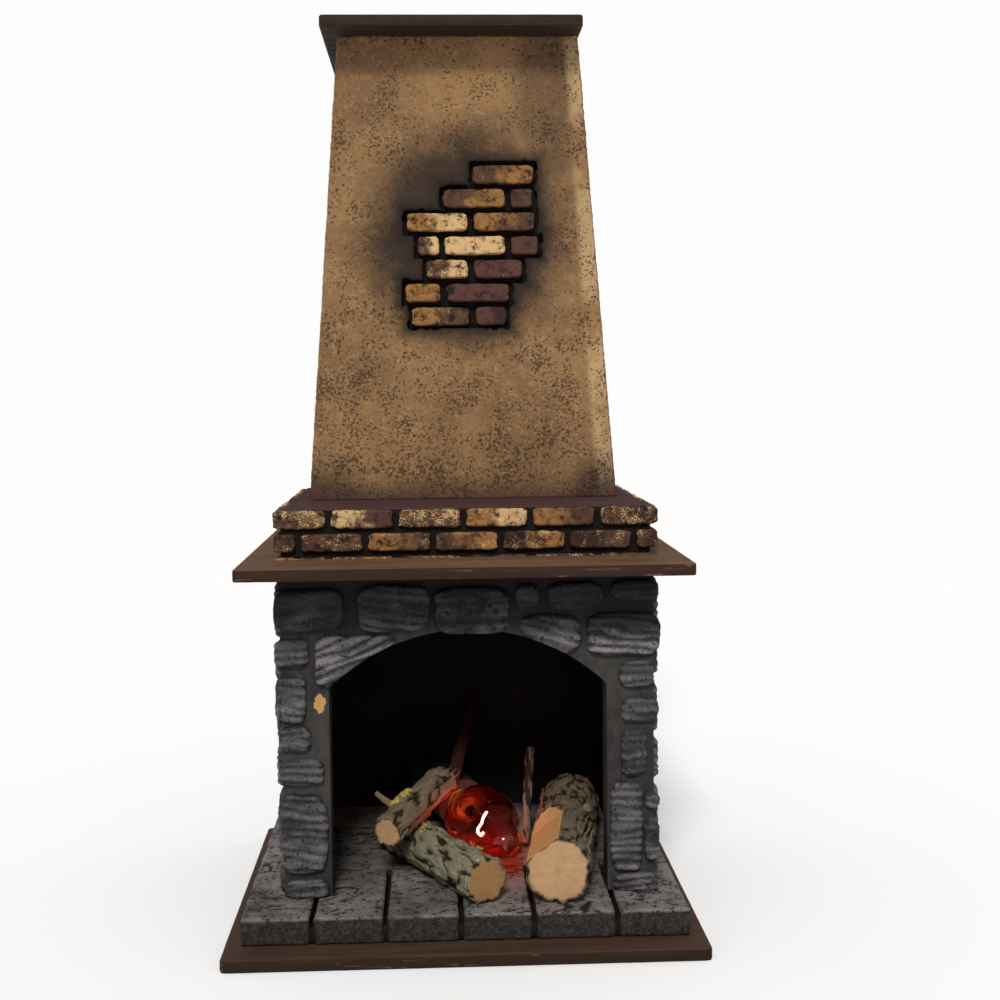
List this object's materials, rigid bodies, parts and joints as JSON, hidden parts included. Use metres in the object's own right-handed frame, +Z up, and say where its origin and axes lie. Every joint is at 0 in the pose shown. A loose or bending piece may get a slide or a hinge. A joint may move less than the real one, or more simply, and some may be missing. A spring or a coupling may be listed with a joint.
{
  "type": "miniature fireplace mantel",
  "caption": "Miniature stone fireplace with a brick ledge, a tapered plastered hood, logs on the hearth and a red lamp as its fire.",
  "frame": {"origin": "middle of the base board's underside", "axes": "+X to the viewer's right, +Y from the hearth's front to the back wall, +Z up"},
  "size_m": [0.21, 0.195, 0.416],
  "materials": {
    "brown_board": "brown stain, worn matt",
    "hearth_stone": "rough foam painted dark grey, dry-brushed",
    "dark_panel": "foam and board painted matt black",
    "grey_stone": "carved foam stone, black wash and grey dry-brushing",
    "ledge_mortar": "dark purple brown, matt",
    "old_brick": "ochre, cream and maroon dry-brushing",
    "dark_mortar": "matt black brown",
    "plaster": "tan plaster texture, pitted, with soot marks",
    "right_log_wood": "sawn end with grey bark",
    "lichen_bark": "grey green bark with lichen",
    "rough_bark": "rough brown bark",
    "dry_bark": "dry bark",
    "red_glass": "clear red lacquered glass",
    "clear_glass": "clear",
    "glowing_filament": "glowing",
    "brass": "drawn brass",
    "black_insulator": "black insulator with a solder contact",
    "holder_plastic": "moulded black",
    "bright_steel": "zinc plated"
  },
  "bodies": {
    "fireplace": {"arch_panel": "dark_panel", "arch_stone_left": "grey_stone", "arch_stone_middle": "grey_stone", "arch_stone_right": "grey_stone", "back_panel": "dark_panel", "bark_strip": "dry_bark", "base_board": "brown_board", "bracket_screws": "bright_steel", "brick_patch_backing": "dark_mortar", "brick_patch_bricks": "old_brick", "cap_board": "brown_board", "firebox_floor": "hearth_stone", "front_left_log": "lichen_bark", "hearth_block_front_1": "hearth_stone", "hearth_block_front_2": "hearth_stone", "hearth_block_front_3": "hearth_stone", "hearth_block_front_4": "hearth_stone", "hearth_block_front_5": "hearth_stone", "hearth_block_front_6": "hearth_stone", "hearth_block_left_middle": "hearth_stone", "hearth_block_left_rear": "hearth_stone", "hearth_block_right_middle": "hearth_stone", "hearth_block_right_rear": "hearth_stone", "hood_back": "plaster", "hood_front": "plaster", "hood_left_side": "plaster", "hood_right_side": "plaster", "lampholder_body": "holder_plastic", "lampholder_bracket": "bright_steel", "lampholder_contact_spring": "bright_steel", "lampholder_end_cap": "holder_plastic", "lampholder_lock_nut": "bright_steel", "lampholder_sleeve": "brass", "lampholder_terminal_screws": "brass", "ledge_bricks_front": "old_brick", "ledge_bricks_sides": "old_brick", "ledge_core": "ledge_mortar", "left_post_stones": "grey_stone", "left_side_panel": "dark_panel", "left_side_stones": "grey_stone", "lintel_stone_1": "grey_stone", "lintel_stone_2": "grey_stone", "lintel_stone_3": "grey_stone", "lintel_stone_4": "grey_stone", "lintel_stone_5": "grey_stone", "lintel_stone_6": "grey_stone", "mantel_shelf": "brown_board", "right_log": "right_log_wood", "right_post_stones": "grey_stone", "right_side_panel": "dark_panel", "right_side_stones": "grey_stone", "stick": "dry_bark", "upper_left_log": "rough_bark"},
    "contact": {"lampholder_centre_contact": "brass"},
    "lamp": {"lamp_end_contact": "black_insulator", "lamp_filament": "glowing_filament", "lamp_glass": "red_glass", "lamp_screw_cap": "brass", "lamp_stem": "clear_glass", "lamp_support_wires": "bright_steel"}
  },
  "joints": [
    {"name": "contact_travel", "type": "slide", "parent": "fireplace", "child": "contact", "axis": [0.2588, -0.9659, 0], "range_m": [0, 0.00282]},
    {"name": "lamp_unscrew", "type": "hinge", "parent": "contact", "child": "lamp", "pos_m": [-0.00446, 0.04523, 0.036], "axis": [0.2588, -0.9659, 0], "range_deg": [0, 360]}
  ],
  "couplings": [
    {"joint": "lamp_unscrew", "follows": "contact_travel", "rad_per_m": 2228}
  ]
}
